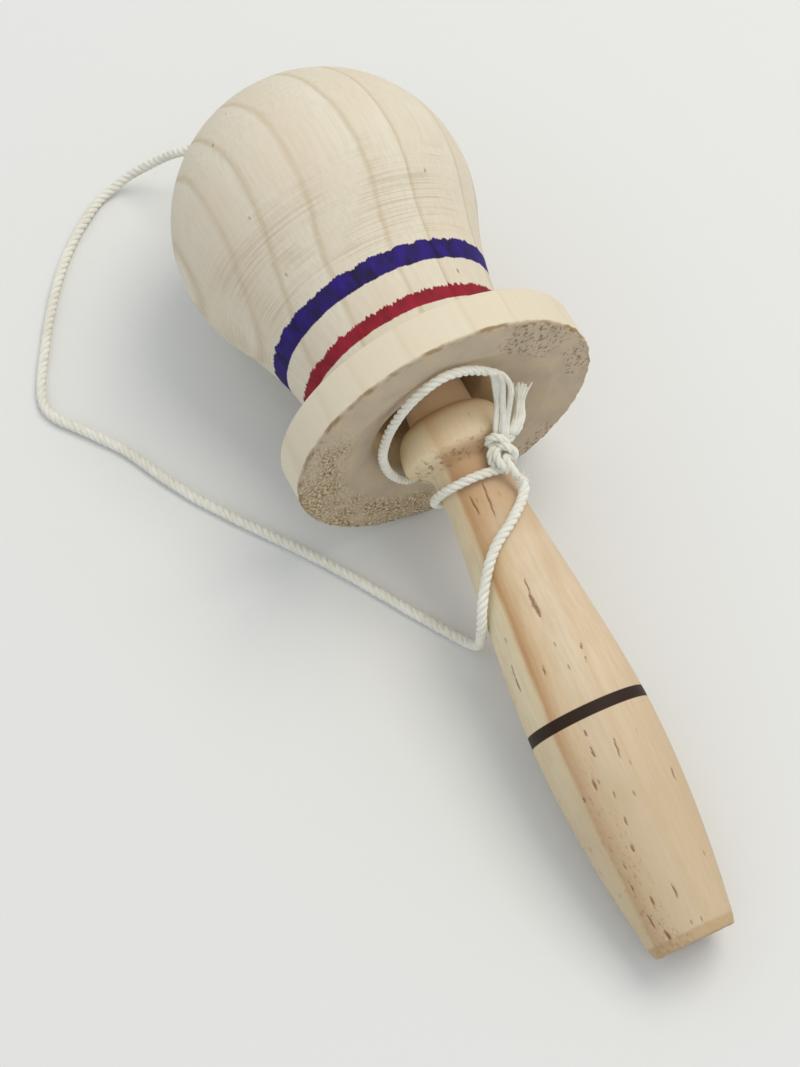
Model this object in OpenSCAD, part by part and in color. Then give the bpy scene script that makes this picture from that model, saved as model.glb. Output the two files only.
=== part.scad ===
// Cup and ball toy: a turned barrel with a bore, a turned handle whose spike plugs the bore,
// and one twisted cotton cord that ties the handle to the barrel's dome.
// It lies on a flat surface on its bulb, its flange and the butt of the handle.

/* [Barrel] */
// Radius of the wide flange round the mouth
flange_r = 37.5; // [34:0.5:41]
// Thickness of the flange at its rim
rim_t = 10.2; // [7:0.1:11.5]
// Rounding of the flange's two edges
rim_edge = 0.9; // [0.3:0.1:2]
// Radius of the waist behind the flange
waist_r = 25.5; // [23:0.1:29]
// Distance from the mouth to where the waist starts to flare
flare_from = 16; // [14:0.5:17.5]
// Radius of the round bulb
bulb_r = 36.7; // [34:0.1:40]
// Distance from the mouth to the centre of the bulb
bulb_x = 63.3; // [59:0.1:70]
// Angle, from the dome's axis, at which the flare meets the bulb
bulb_from = 115; // [105:1:120]
// Radius of the bore at its seat in the mouth, where the bead rests
bore_r = 16.7; // [15:0.1:18]
// Depth of the bore from the mouth
bore_depth = 78; // [70:0.5:86]
// Radius of the countersink at the mouth
countersink_r = 24; // [20:0.5:28]
// Depth of the countersink
countersink_d = 2.7; // [1:0.1:4]
// Radius of the bore past its seat
throat_r = 13.7; // [13:0.1:14.6]
// Depth at which the seat has narrowed to that radius
throat_at = 8.6; // [7.6:0.1:10]
// Radius of the cord hole in the dome
cord_hole_r = 2; // [1.8:0.1:3]

/* [Painted bands] */
// Distance from the mouth to the red band
red_from = 18; // [17.5:0.1:19]
// Width of the red band
red_w = 3.8; // [2:0.1:5]
// Distance from the mouth to the blue band
blue_from = 28.4; // [25:0.1:30]
// Width of the blue band
blue_w = 5.4; // [3:0.1:7]
// Width of the dark line round the grip
line_w = 2.4; // [1:0.1:4]

/* [Handle] */
// Length of the spike behind the middle of the bead
spike_len = 48; // [40:0.5:55]
// Radius of the spike beside the bead
spike_r = 8; // [7:0.1:9]
// Radius of the spike near its tip
spike_tip_r = 5.2; // [4:0.1:6.5]
// Radius of the bead that sits in the mouth
bead_r = 11.7; // [10.5:0.1:12.8]
// Length of the bead
bead_len = 10; // [8:0.2:11]
// Radius of the neck
neck_r = 8.6; // [8.1:0.1:9.4]
// Distance from the middle of the bead to the end of the neck
neck_to = 17.6; // [16.6:0.1:20]
// Radius of the grip at the dark line
belly_r = 14.2; // [13:0.1:16]
// Distance from the middle of the bead to the dark line
belly_x = 72.2; // [65:0.2:79]
// Radius of the butt
butt_r = 10.2; // [9:0.1:12]
// Distance from the middle of the bead to the butt
butt_x = 126.6; // [115:0.2:137]
// Length of the worn edge of the butt
butt_edge = 2.6; // [1.5:0.1:3.5]
// Depth of the worn edge of the butt
butt_worn = 0.7; // [0.6:0.1:1.2]
// Angle by which the handle lies askew, towards the cord
askew = 1.9; // [0:0.1:3]
// Angle by which the bead lies up the side of the bore, away from the cord
bead_lean = 17; // [0:1:25]

/* [Cord] */
// Diameter of the cord
cord_d = 2.6; // [2.3:0.1:2.9]
// Radius of the knot beside the neck
tie_knot_r = 3.6; // [3.2:0.1:4]
// Length of the knot beside the neck
tie_knot_len = 10; // [9:0.2:10.6]
// Angle round the neck at which the knot sits, from the side away from the cord
tie_knot_at = 60; // [54:1:66]
// Half the width of the loose loop
loop_half_w = 15.9; // [15.4:0.1:17.4]
// Half the height of the loose loop
loop_half_h = 23.8; // [23.2:0.1:27]
// Height of the middle of the loose loop above the middle of the mouth
loop_up = 4; // [3:0.1:5]
// Distance of the loose loop's middle from the barrel's axis, towards the cord
loop_aside = 1.3; // [0.6:0.1:1.7]
// Radius of the stopper knot in the bore
stopper_r = 4.6; // [3.5:0.1:6]
// Clearance between the cord and the wood, and between the bead and the bore
fit_gap = 0.3; // [0.2:0.05:0.4]

/* [Hidden] */
$fn = 96;

cord_r = cord_d / 2;
pine = "#E0D5B8";
indigo = "#2D0C78";
crimson = "#A01A30";
warm_pine = "#D9B98C";
dark_brown = "#33201C";
cotton = "#DAD9CC";

// The barrel tips until its bulb and the rim of its flange both touch the surface
rim_touch = bulb_r > flange_r ? rim_edge : rim_t - rim_edge;
tip_reach = bulb_x - rim_touch;
barrel_tip = asin(bulb_r / norm([tip_reach, flange_r])) - atan2(flange_r, tip_reach);
mouth_z = bulb_r - bulb_x * sin(barrel_tip);

// The bead rests in the bore, and the handle droops until the edge of its butt touches the surface
bead_drop = bore_r - bead_r - fit_gap;
bead_sunk = bead_drop * cos(bead_lean);
bead_z = mouth_z - bead_sunk * cos(barrel_tip);
butt_reach = butt_x - butt_edge;
droop = asin(bead_z / norm([butt_reach, butt_r])) - atan2(butt_r, butt_reach);
handle_axis = [cos(droop) * cos(askew), -cos(droop) * sin(askew), -sin(droop)];
handle_side = [sin(askew), cos(askew), 0];
handle_up = cross(handle_axis, handle_side);

// The toy is centred along X between the dome and the butt
bead_from_mouth = -bead_sunk * sin(barrel_tip);
dome_end = -bulb_x * cos(barrel_tip) - bulb_r;
butt_end = bead_from_mouth + butt_x * handle_axis.x + (butt_r - butt_worn) * sqrt(1 - pow(handle_axis.x, 2));
mouth = [-(dome_end + butt_end) / 2, 0, mouth_z];
bead_at = mouth + [bead_from_mouth, bead_drop * sin(bead_lean), bead_z - mouth_z];

// Places in the barrel (along its axis from the mouth, across, up) and in the handle (along, angle, radius)
function in_barrel(along, across, up) = mouth + along * [cos(barrel_tip), 0, -sin(barrel_tip)]
    + [0, across, 0] + up * [sin(barrel_tip), 0, cos(barrel_tip)];
function on_handle(along, angle, radius) = bead_at + along * handle_axis
    + radius * (cos(angle) * handle_side + sin(angle) * handle_up);

function unit(v) = v / norm(v);
function smooth(t) = let (c = max(0, min(1, t))) c * c * (3 - 2 * c);

// A radius that runs from r0 to r1 over a length, with slope m0 at its start and m1 at its end
function ease(t, r0, m0, r1, m1, length) = (2 * t ^ 3 - 3 * t ^ 2 + 1) * r0 + (3 * t ^ 2 - 2 * t ^ 3) * r1
    + length * (m0 * (t ^ 3 - 2 * t ^ 2 + t) + m1 * (t ^ 3 - t ^ 2));

// Outline of the barrel, at a distance back from its mouth
bulb_join = bulb_x + bulb_r * cos(bulb_from);
flare_len = bulb_join - flare_from;
flare_slope = -1 / tan(bulb_from);
function flare_r(back) = ease(max(0, (back - flare_from) / flare_len), waist_r, 0,
    bulb_r * sin(bulb_from), flare_slope, flare_len);
function flare(from, to, steps) = [for (i = [0:steps]) let (back = from + (to - from) * i / steps)
    [flare_r(back), -back]];

// Outline of the grip, at a distance along from the middle of the bead
grip_slopes = [0.1, 0.05, 0.03, -0.17];
function grip_r(along) = along < belly_x
    ? ease((along - neck_to) / (belly_x - neck_to), neck_r, grip_slopes[0], belly_r, grip_slopes[1], belly_x - neck_to)
    : ease((along - belly_x) / (butt_reach - belly_x), belly_r, grip_slopes[2], butt_r, grip_slopes[3],
        butt_reach - belly_x);
function grip(from, to, steps) = [for (i = [0:steps]) let (along = from + (to - from) * i / steps)
    [grip_r(along), along]];

// Turns an outline of [radius, place along the axis] round the X axis
module turned(outline) rotate([0, 90, 0]) rotate_extrude() polygon(outline);
module turned_band(outline) turned(concat([[0, outline[0].y]], outline, [[0, outline[len(outline) - 1].y]]));

// Points on a smooth curve through a route, with some steps from each point to the next
function curve_point(a, b, c, d, t) = ((2 * b) + (c - a) * t + (2 * a - 5 * b + 4 * c - d) * t ^ 2
    + (3 * b - a - 3 * c + d) * t ^ 3) / 2;
function curve(route, steps) = let (last = len(route) - 1) concat([for (i = [0:last - 1], k = [0:steps - 1])
    curve_point(route[max(0, i - 1)], route[i], route[i + 1], route[min(last, i + 2)], k / steps)], [route[last]]);

// A tube of flat-sided rings that follows a path
module tube(path, radius, sides) {
    last = len(path) - 1;
    heading = [for (i = [0:last]) unit(path[min(last, i + 1)] - path[max(0, i - 1)])];
    first = unit(cross(heading[0], abs(heading[0].z) < 0.9 ? [0, 0, 1] : [0, 1, 0]));
    normal = [for (i = 0, n = first; i <= last; i = i + 1,
        n = i <= last ? unit(n - (n * heading[i]) * heading[i]) : n) n];
    ring = [for (i = [0:last], k = [0:sides - 1]) let (a = 360 * k / sides)
        path[i] + radius * (cos(a) * normal[i] + sin(a) * cross(heading[i], normal[i]))];
    walls = [for (i = [0:last - 1], k = [0:sides - 1]) let (a = i * sides + k, b = i * sides + (k + 1) % sides)
        each [[a, a + sides, b], [b, a + sides, b + sides]]];
    caps = [for (k = [1:sides - 2]) each [[0, k, k + 1], [last * sides, last * sides + k + 1, last * sides + k]]];
    polyhedron(points = ring, faces = concat(walls, caps), convexity = 10);
}

// The stopper knot sits on the end of the bore, and the cord runs from it straight out of the dome
stopper_along = -(bore_depth - stopper_r - fit_gap);
lead = [for (along = [stopper_along - stopper_r + cord_r / 4, -bore_depth - 8, -bulb_x - bulb_r + 8,
    -bulb_x - bulb_r - 3]) in_barrel(along, 0, 0)];

// The route over the surface and up the handle, chosen by hand
floor_z = 1.4;
route = [[-118.4, -1.4, 33.4], [-119.8, -4.6, 28], [-121, -9.6, 22.6], [-122.1, -15.8, 18.6], [-125.7, -20.1, 14.2],
    [-128.6, -24.5, 9.4], [-130.6, -29.5, 5.4], [-130.9, -34, 2.7], [-130, -38.9, floor_z], [-126.6, -44.3, floor_z],
    [-120.5, -51.6, floor_z], [-111.9, -59.1, floor_z], [-102.2, -65.7, floor_z], [-93, -71.1, floor_z],
    [-86.2, -74.7, floor_z], [-80.6, -76.2, floor_z], [-76.5, -75.1, floor_z], [-72.6, -72.3, floor_z],
    [-66.9, -68, floor_z], [-59.4, -63, floor_z], [-50.3, -58.7, floor_z], [-40.8, -53.6, floor_z],
    [-28.1, -45.1, floor_z], [-15.2, -36, floor_z], [-3.9, -28.7, floor_z], [7.4, -22, floor_z], [17.1, -16.2, floor_z],
    [21.9, -13.2, floor_z], [24.7, -11.9, 3.2], [26.7, -11.7, 7.6], [28.2, -12.2, 13.5], [29.3, -12.9, 19.2],
    [30.2, -13.4, 24.8], [27.8, -12.2, 30.4], [23.2, -9, 34.7], [18.1, -4.4, 38.1], [14.2, 1.3, 39.6],
    [9.4, 5.5, 39.9]];

// The knot beside the neck
tie_knot_mid = (bead_len / 2 + neck_to) / 2;
tie_knot_out = neck_r + fit_gap + tie_knot_r;
run_end = on_handle(tie_knot_mid + tie_knot_len / 2 + cord_r, tie_knot_at, tie_knot_out);

// The tie is one winding: a tight turn on the neck, then a loose loop on the flange's face
turn_out = neck_r + fit_gap + cord_r;
loop_along = cord_r + fit_gap;
turn_pitch = cord_d + 3 * fit_gap;
loop_rings = 30;
winding_to = 2 - 1 / loop_rings;
function turn_point(turns) = on_handle(tie_knot_mid + turn_pitch * (0.7 - turns), tie_knot_at + 360 * turns, turn_out);
function round_corner(c) = sign(c) * pow(abs(c), 1.1);
function loop_point(angle) = in_barrel(loop_along, loop_half_w * round_corner(cos(angle)) - loop_aside,
    loop_half_h * round_corner(sin(angle)) + loop_up);
function loop_share(turns) = smooth((turns - 1) / 0.14) * smooth((winding_to - turns) / 0.1);
function out_of_bead(point) = let (along = (point - bead_at) * handle_axis, foot = bead_at + along * handle_axis,
    least = turn_out + (bead_r + fit_gap - neck_r) * smooth(2 - 2 * along / bead_len))
    foot + unit(point - foot) * max(least, norm(point - foot));
function winding_point(turns) = let (share = loop_share(turns))
    out_of_bead((1 - share) * turn_point(turns) + share * loop_point(360 * turns));
winding_turns = [for (i = [0:winding_to * loop_rings]) winding_point(i / loop_rings)];
winding_last = len(winding_turns) - 1;
winding = concat([winding_turns[0] - cord_d * unit(winding_turns[1] - winding_turns[0])], winding_turns,
    [winding_turns[winding_last] + cord_r * unit(winding_turns[winding_last] - winding_turns[winding_last - 1])]);
winding_apart = min([for (i = [0:winding_last - 2], k = [i + 4:1:winding_last + 2])
    norm(winding[i] - winding[k])]);
echo(winding_least_gap = winding_apart - cord_d);

// The tail leaves the knot and leans on the flange's face
tail = [on_handle(tie_knot_mid - cord_d / 2, tie_knot_at, tie_knot_out + cord_r / 2), [-1.6, 9.6, 43.2], [-2.8, 11.8, 44.7],
    [-4.8, 13.8, 45.6], [-7.2, 15.1, 46.7], [-9.6, 16.3, 47.7], [-11.2, 17.6, 48.9]];

module in_barrel_place() translate(mouth) rotate([0, barrel_tip, 0]) children();
module on_handle_place() translate(bead_at) rotate([0, droop, -askew]) children();

module barrel() in_barrel_place() difference() {
    union() {
        color(pine) turned_band(concat([[flange_r - rim_edge, 0], [flange_r, -rim_edge], [flange_r, rim_edge - rim_t],
            [flange_r - rim_edge, -rim_t], [waist_r + 2, -rim_t - 0.8], [waist_r, -rim_t - 2.3]],
            flare(flare_from, red_from, 2)));
        color(crimson) turned_band(flare(red_from, red_from + red_w, 3));
        color(pine) turned_band(flare(red_from + red_w, blue_from, 3));
        color(indigo) turned_band(flare(blue_from, blue_from + blue_w, 3));
        color(pine) turned_band(concat(flare(blue_from + blue_w, bulb_join, 6),
            [for (i = [1:24]) let (a = bulb_from * (1 - i / 24)) [bulb_r * sin(a), -bulb_x - bulb_r * cos(a)]]));
    }
    color(pine) bore_and_cord_hole();
}

// The bore with its countersunk mouth, and the cord hole with its worn outer edge
module bore_and_cord_hole() {
    dome = bulb_x + bulb_r;
    spread = (countersink_r - bore_r) / countersink_d;
    turned([[0, 1], [countersink_r + spread, 1], [bore_r, -countersink_d], [throat_r, -throat_at],
        [throat_r, -bore_depth],
        [cord_hole_r, -bore_depth], [cord_hole_r, 1 - dome], [cord_hole_r + 2, -dome - 1], [0, -dome - 1]]);
}

module handle() on_handle_place() {
    half = bead_len / 2;
    line_from = belly_x - line_w / 2;
    line_to = belly_x + line_w / 2;
    tip = [for (a = [0:15:75]) [spike_tip_r * sin(a), -spike_len + spike_tip_r * (1 - cos(a))]];
    bead = [for (a = [-90:10:90]) let (base = a < 0 ? spike_r : neck_r) [base + (bead_r - base) * cos(a), half * sin(a)]];
    color(warm_pine) turned(concat(tip, [[spike_tip_r, spike_tip_r - spike_len]], bead, grip(neck_to, line_from, 12),
        [[0, line_from]]));
    color(dark_brown) turned_band(grip(line_from, line_to, 2));
    color(warm_pine) turned_band(concat(grip(line_to, butt_reach, 12), [[butt_r - butt_worn, butt_x]]));
}

module cord_run() color(cotton) tube(concat(lead, curve(concat([lead[3]], route, [run_end]), 2)), cord_r, 8);

module tie_winding() color(cotton) tube(winding, cord_r, 6);

module tie_knot() color(cotton) translate(on_handle(tie_knot_mid, tie_knot_at, tie_knot_out))
    rotate([0, droop, -askew]) turned([for (a = [0:10:180])
        [tie_knot_r * sin(a), -tie_knot_len / 2 * cos(a)]]);

module cord_tail() color(cotton) tube(curve(tail, 2), cord_r, 8);

module stopper_knot() color(cotton) translate(in_barrel(stopper_along, 0, 0)) sphere(stopper_r);

barrel();
handle();
cord_run();
tie_winding();
tie_knot();
cord_tail();
stopper_knot();
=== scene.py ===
# %% [markdown]
# # A cup and ball toy, turned in pine and tied with a cotton cord
#
# The toy lies on a table. It has a barrel with a flange, a waist and a round bulb, a handle
# whose spike plugs the barrel's bore, and one twisted cord that ties the two together.
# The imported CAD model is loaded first. Every piece is then made in its frame, in metres,
# so nothing has to be fitted afterwards.

# %% Load the frame
import math
import bpy
import numpy as np
from mathutils import Euler, Matrix, Vector


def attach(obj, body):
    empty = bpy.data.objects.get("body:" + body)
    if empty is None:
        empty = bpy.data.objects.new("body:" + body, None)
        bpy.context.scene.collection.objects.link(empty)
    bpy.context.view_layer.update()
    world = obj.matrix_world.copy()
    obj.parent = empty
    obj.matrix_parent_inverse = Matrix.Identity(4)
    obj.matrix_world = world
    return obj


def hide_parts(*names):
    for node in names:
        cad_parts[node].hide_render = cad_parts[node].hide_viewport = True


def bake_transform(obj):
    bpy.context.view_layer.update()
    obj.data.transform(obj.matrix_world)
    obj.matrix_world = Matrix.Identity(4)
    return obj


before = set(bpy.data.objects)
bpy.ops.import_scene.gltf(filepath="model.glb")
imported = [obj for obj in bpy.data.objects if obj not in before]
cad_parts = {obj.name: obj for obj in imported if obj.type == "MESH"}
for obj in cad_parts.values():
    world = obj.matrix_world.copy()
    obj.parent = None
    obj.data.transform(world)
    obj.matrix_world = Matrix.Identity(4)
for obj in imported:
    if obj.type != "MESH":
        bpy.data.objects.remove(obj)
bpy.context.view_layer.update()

# %% [markdown]
# ## Sizes
#
# The driving sizes of the toy, in millimetres, are the same as in the part's source, apart
# from the widths of the blue band and the dark line, which are as seen. The places of the
# barrel and the handle follow from them: the barrel rolls down until its bulb and its flange
# touch the table, and the handle droops until its butt does.

# %% Sizes in millimetres
MM = 0.001
FLANGE_R, RIM_T, RIM_EDGE = 37.5, 10.2, 0.9
WAIST_R, FLARE_FROM = 25.5, 16
BULB_R, BULB_X, BULB_FROM = 36.7, 63.3, math.radians(115)
BORE_R, BORE_DEPTH, CORD_HOLE_R = 16.7, 78, 2
RED_FROM, RED_W, BLUE_FROM, BLUE_W, LINE_W = 18, 3.8, 28.4, 5.0, 2.8
SPIKE_LEN, SPIKE_R, SPIKE_TIP_R = 48, 8, 5.2
BEAD_R, BEAD_LEN, NECK_R, NECK_TO = 11.7, 10, 8.6, 17.6
BELLY_R, BELLY_X, BUTT_R, BUTT_X = 14.2, 72.2, 10.2, 126.6
BUTT_EDGE, BUTT_WORN = 2.6, 0.7
ASKEW, BEAD_LEAN = math.radians(1.9), math.radians(17)
CORD_R, FIT_GAP = 1.3, 0.3
KNOT_R, KNOT_AT, STOPPER_R = 3.6, math.radians(60), 4.6

rim_touch = RIM_EDGE if BULB_R > FLANGE_R else RIM_T - RIM_EDGE
tip_reach = BULB_X - rim_touch
barrel_tip = math.asin(BULB_R / math.hypot(tip_reach, FLANGE_R)) - math.atan2(FLANGE_R, tip_reach)
mouth_z = BULB_R - BULB_X * math.sin(barrel_tip)
bead_drop = BORE_R - BEAD_R - FIT_GAP
bead_sunk = bead_drop * math.cos(BEAD_LEAN)
bead_z = mouth_z - bead_sunk * math.cos(barrel_tip)
butt_reach = BUTT_X - BUTT_EDGE
droop = math.asin(bead_z / math.hypot(butt_reach, BUTT_R)) - math.atan2(BUTT_R, butt_reach)
handle_axis = np.array([math.cos(droop) * math.cos(ASKEW), -math.cos(droop) * math.sin(ASKEW), -math.sin(droop)])
handle_side = np.array([math.sin(ASKEW), math.cos(ASKEW), 0])
handle_up = np.cross(handle_axis, handle_side)
bead_from_mouth = -bead_sunk * math.sin(barrel_tip)
dome_end = -BULB_X * math.cos(barrel_tip) - BULB_R
butt_end = (bead_from_mouth + BUTT_X * handle_axis[0]
            + (BUTT_R - BUTT_WORN) * math.sqrt(1 - handle_axis[0] ** 2))
mouth = np.array([-(dome_end + butt_end) / 2, 0, mouth_z])
bead_at = mouth + [bead_from_mouth, bead_drop * math.sin(BEAD_LEAN), bead_z - mouth_z]
barrel_axis = np.array([math.cos(barrel_tip), 0, -math.sin(barrel_tip)])
barrel_up = np.array([math.sin(barrel_tip), 0, math.cos(barrel_tip)])
ACROSS = np.array([0, 1, 0])


def in_barrel(along, across, up):
    return mouth + along * barrel_axis + across * ACROSS + up * barrel_up


def on_handle(along, angle, radius):
    return bead_at + along * handle_axis + radius * (math.cos(angle) * handle_side + math.sin(angle) * handle_up)


# The bead looks a little fuller than in the source: it swells to BEAD_FULL, then falls to the neck
BEAD_FULL, BEAD_FULL_AT, BEAD_FALL = 13.5, 3.4, 8.4


def bead_radius(along):
    if along < BEAD_FULL_AT:
        back = min(1, (BEAD_FULL_AT - along) / (BEAD_FULL_AT + BEAD_LEN / 2))
        return SPIKE_R + (BEAD_FULL - SPIKE_R) * math.sqrt(1 - back ** 2)
    front = min(1, (along - BEAD_FULL_AT) / (BEAD_FALL - BEAD_FULL_AT))
    return NECK_R + (BEAD_FULL - NECK_R) * (1 - front ** 2) ** 1.5


print("mouth at", mouth.round(2), "bead at", bead_at.round(2), "droop", round(math.degrees(droop), 2))

# %% [markdown]
# ## Camera
#
# The camera looks down on the toy from the handle's end through a long lens, so the flange
# and the bulb keep their true proportions. The focal length is given in pixels of a picture
# that is 800 wide and 1067 high, and the lens is worked out from that.

# %% Camera
PICTURE = (800, 1067)
FOCAL_PIXELS = 2400
AIM, AWAY = np.array([5.51, -21.5, 37.5]), 538
camera_data = bpy.data.cameras.new("camera")
camera = bpy.data.objects.new("camera", camera_data)
bpy.context.collection.objects.link(camera)
camera_data.sensor_width = 36
camera_data.lens = FOCAL_PIXELS / PICTURE[1] * camera_data.sensor_width
elevation, azimuth = math.radians(64.6), math.radians(-27)
eye_side = np.array([math.cos(elevation) * math.cos(azimuth), math.cos(elevation) * math.sin(azimuth),
                     math.sin(elevation)])
camera.location = Vector(AIM + AWAY * eye_side) * MM
camera.rotation_euler = Vector(-eye_side).to_track_quat("-Z", "Y").to_euler()
bpy.context.scene.camera = camera
print("lens", round(camera_data.lens, 2), "mm, camera at", [round(c, 4) for c in camera.location])

# %% [markdown]
# ## The cord's lay
#
# The cord is three cotton strands twisted together. A single tube with a bump would look
# flat at its outline, so each strand is a tube of its own that winds round the cord's route.
# The helpers here carry a frame along a route, wind strands round it and sweep tubes.

# %% Helpers for routes and strands
STRAND_R = 0.68
STRAND_OFFSET = 0.6
LAY_PITCH = 5.4
rng = np.random.default_rng(7)


def smooth(t):
    c = np.clip(t, 0, 1)
    return c * c * (3 - 2 * c)


def smooth_curve(route, steps):
    route = np.asarray(route, float)
    padded = np.concatenate([route[:1], route, route[-1:]])
    t = (np.arange(steps) / steps)[:, None]
    pieces = [(2 * b + (c - a) * t + (2 * a - 5 * b + 4 * c - d) * t ** 2 + (3 * b - a - 3 * c + d) * t ** 3) / 2
              for a, b, c, d in zip(padded, padded[1:], padded[2:], padded[3:])]
    return np.concatenate(pieces + [route[-1:]])


def even_steps(points, step):
    points = np.asarray(points, float)
    run = np.concatenate([[0], np.cumsum(np.linalg.norm(np.diff(points, axis=0), axis=1))])
    at = np.linspace(0, run[-1], max(4, round(run[-1] / step)))
    return np.stack([np.interp(at, run, points[:, k]) for k in range(3)], 1), at


def carried_frame(points):
    heading = np.gradient(points, axis=0)
    heading /= np.linalg.norm(heading, axis=1)[:, None]
    side = np.cross(heading[0], [0, 0, 1] if abs(heading[0][2]) < 0.9 else [0, 1, 0])
    sides = []
    for h in heading:
        side = side - h * side.dot(h)
        side = side / np.linalg.norm(side)
        sides.append(side)
    return np.array(sides), np.cross(heading, sides)


def wind_strands(points, at, thick=1.0, phase=0.0):
    side, other = carried_frame(points)
    twist = at * 2 * math.pi / LAY_PITCH + phase
    for k in range(3):
        turn = (twist + k * 2 * math.pi / 3)[:, None]
        uneven = 1 + 0.04 * np.sin(at / 1.9 + 2.1 * k + phase) + 0.02 * np.sin(at / 0.7 + k)
        yield (points + thick * STRAND_OFFSET * (np.cos(turn) * side + np.sin(turn) * other),
               thick * STRAND_R * uneven, 10)


def sweep_tubes(name, tubes):
    verts, faces, uvs = [], [], []
    for points, radii, sides in tubes:
        base, count = sum(len(v) for v in verts), len(points)
        side, other = carried_frame(points)
        around = np.arange(sides) * 2 * math.pi / sides
        ring = np.cos(around)[None, :, None] * side[:, None] + np.sin(around)[None, :, None] * other[:, None]
        verts.append((points[:, None] + np.asarray(radii)[:, None, None] * ring).reshape(-1, 3))
        for i in range(count - 1):
            for k in range(sides):
                a, b = base + i * sides + k, base + i * sides + (k + 1) % sides
                faces.append((a, b, b + sides, a + sides))
                uvs += [(k / sides, i), ((k + 1) / sides, i), ((k + 1) / sides, i + 1), (k / sides, i + 1)]
        faces.append(tuple(base + k for k in reversed(range(sides))))
        faces.append(tuple(base + (count - 1) * sides + k for k in range(sides)))
        uvs += [(0.5, 0)] * sides + [(0.5, count)] * sides
    mesh = bpy.data.meshes.new(name)
    mesh.from_pydata(np.concatenate(verts) * MM, [], faces)
    layer = mesh.uv_layers.new(name="along_strand")
    layer.data.foreach_set("uv", np.array(uvs, np.float32).ravel())
    mesh.shade_smooth()
    piece = bpy.data.objects.new(name, mesh)
    bpy.context.collection.objects.link(piece)
    print(name, len(mesh.vertices), "vertices in", len(verts), "tubes")
    return piece


# %% [markdown]
# ## The long run of cord
#
# The cord leaves the dome of the barrel, drops to the table, lies there in one long bend
# and climbs over the handle to the knot. Its route is the part's own, and only its last few
# points are led into the knot's own turns.

# %% Cord run
FLOOR_Z = 1.4
stopper_along = -(BORE_DEPTH - STOPPER_R - FIT_GAP)
lead = [in_barrel(along, 0, 0) for along in
        (stopper_along - STOPPER_R + CORD_R / 4, -BORE_DEPTH - 8, -BULB_X - BULB_R + 8, -BULB_X - BULB_R - 3)]
drop = [(-118.4, -1.4, 33.4), (-119.8, -4.6, 28), (-121, -9.6, 22.6), (-122.1, -15.8, 18.6), (-125.7, -20.1, 14.2),
        (-128.6, -24.5, 9.4), (-130.6, -29.5, 5.4), (-130.9, -34, 2.7)]
lying = [(-130, -38.9), (-126.6, -44.3), (-120.5, -51.6), (-111.9, -59.1), (-102.2, -65.7), (-93, -71.1),
         (-86.2, -74.7), (-80.6, -76.2), (-76.5, -75.1), (-72.6, -72.3), (-66.9, -68), (-59.4, -63), (-50.3, -58.7),
         (-40.8, -53.6), (-28.1, -45.1), (-15.2, -36), (-3.9, -28.7), (7.4, -22), (17.1, -16.2), (21.9, -13.2)]
climb = [(24.7, -11.9, 3.2), (26.7, -11.7, 7.6), (28.2, -12.2, 13.5), (29.3, -12.9, 19.2), (30.2, -13.4, 24.8),
         (27.8, -12.2, 30.4), (23.2, -9, 34.7), (18.4, -4.2, 38), (14.7, 1.8, 38.8), (10.3, 7, 37.6), (7.4, 9, 38.2),
         (6, 8.4, 39.2)]
route = [lead[3]] + drop + [(x, y, FLOOR_Z) for x, y in lying] + climb
run_points, run_at = even_steps(np.concatenate([lead[:3], smooth_curve(route, 12)]), 0.4)
cord_run = sweep_tubes("cotton_cord_run", wind_strands(run_points, run_at))
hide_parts("cord_run")
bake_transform(cord_run)
print("cord run", round(run_at[-1], 1), "mm long")

# %% [markdown]
# ## The tie on the neck
#
# Beside its knot the cord makes a tight turn on the handle's neck and a loose loop that
# leans on the flange. On the way up from the knot to the loop its strands have come unlaid
# and lie side by side, so there each strand leaves its twist for a place of its own.

# %% Tie winding
LOOP_HALF_W, LOOP_HALF_H, LOOP_UP, LOOP_ASIDE = 15.9, 23.8, 4, 1.3
LOOP_THICK = 0.9
TUCK_AT, TUCK_IN, TUCK_DOWN = 1.72, 0.17, 1.7
UNLAID_FROM, UNLAID_TO, STRANDS_APART = 1.0, 1.16, 1.55
LOOSE_YARNS, YARNS_APART = 4, 1.05
knot_mid = (BEAD_LEN / 2 + NECK_TO) / 2
knot_out = NECK_R + FIT_GAP + KNOT_R
turn_out = NECK_R + FIT_GAP + CORD_R
turn_pitch = 2 * CORD_R + 3 * FIT_GAP
winding_to = 2 - 1 / 30
sideways = np.array([-math.sin(azimuth), math.cos(azimuth), 0])
BOW = 2.7


def loop_point(turns):
    angle = 2 * math.pi * turns
    tuck = 1 - TUCK_IN * math.exp(-((turns - TUCK_AT) / 0.06) ** 2)
    sunk = TUCK_DOWN * math.exp(-((turns - TUCK_AT) / 0.075) ** 2)
    across, up = (tuck * math.copysign(abs(c) ** 1.1, c) for c in (math.cos(angle), math.sin(angle)))
    return in_barrel(CORD_R + FIT_GAP - sunk, LOOP_HALF_W * across - LOOP_ASIDE, LOOP_HALF_H * up + LOOP_UP)


def winding_point(turns):
    share = smooth((turns - 1) / 0.14) * smooth((winding_to - turns) / 0.1)
    tight = on_handle(knot_mid + turn_pitch * (0.7 - turns), KNOT_AT + 2 * math.pi * turns, turn_out)
    point = (1 - share) * tight + share * loop_point(turns)
    point = point + BOW * smooth((turns - 0.99) / 0.05) * smooth((1.19 - turns) / 0.08) * sideways
    along = (point - bead_at).dot(handle_axis)
    foot = bead_at + along * handle_axis
    least = bead_radius(along) + FIT_GAP + CORD_R
    out = point - foot
    return foot + out / np.linalg.norm(out) * max(least, np.linalg.norm(out))


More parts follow.
